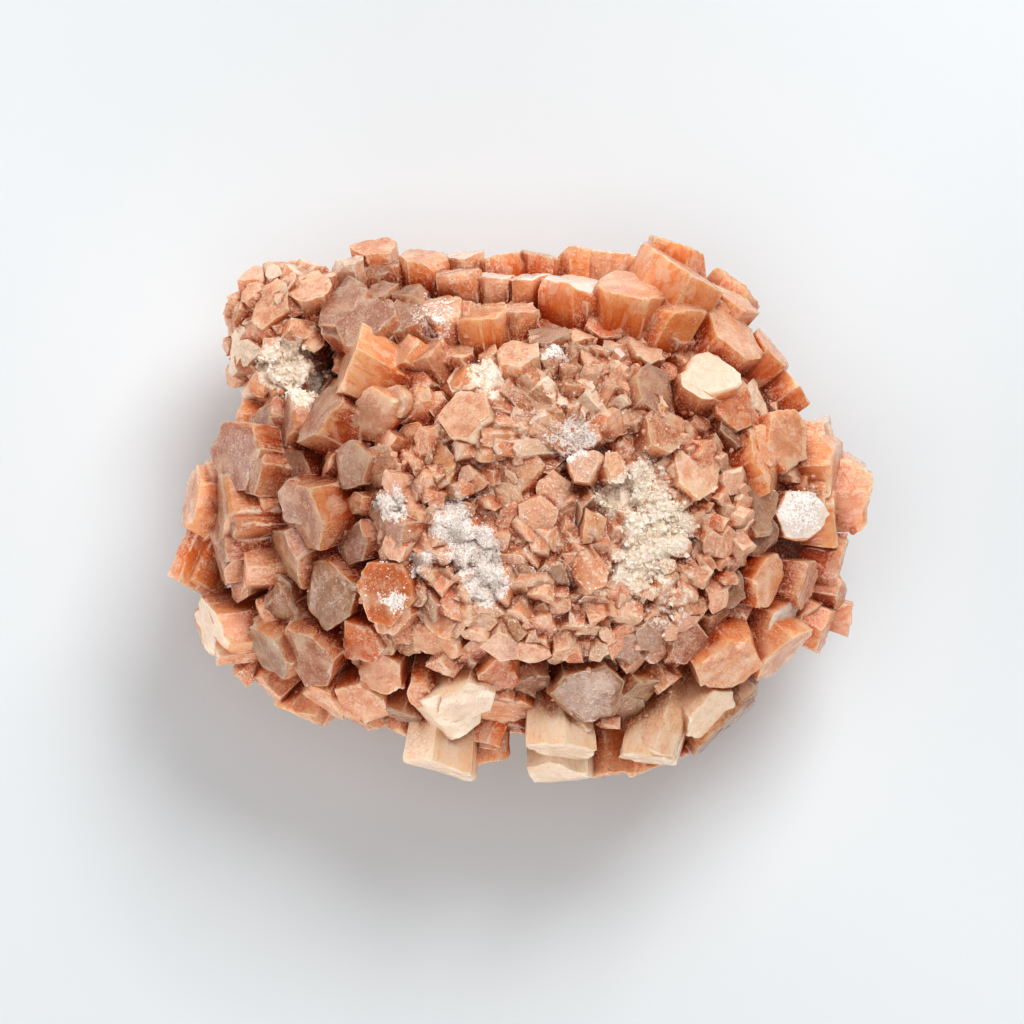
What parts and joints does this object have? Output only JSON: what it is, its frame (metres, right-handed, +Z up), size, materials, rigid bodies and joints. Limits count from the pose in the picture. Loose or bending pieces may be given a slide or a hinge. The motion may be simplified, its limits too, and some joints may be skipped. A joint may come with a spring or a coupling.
{
  "type": "aragonite sputnik cluster",
  "caption": "Flattened ball of orange-brown pseudo-hexagonal aragonite crystals that radiate from a common heart, with pale caps, a powdery white patch and a small broken flat spot.",
  "frame": {"origin": "under the middle of the cluster, on the plane of the broken flat spot that it rests on", "axes": "+Z up and across the flattened ball, +X along its longest extent, +Y across it towards the rim that carries the side cluster at its -X end"},
  "size_m": [0.0693, 0.0544, 0.038],
  "materials": {
    "aragonite": "satin"
  },
  "bodies": {
    "root": {"aragonite_cluster": "aragonite"}
  },
  "joints": []
}
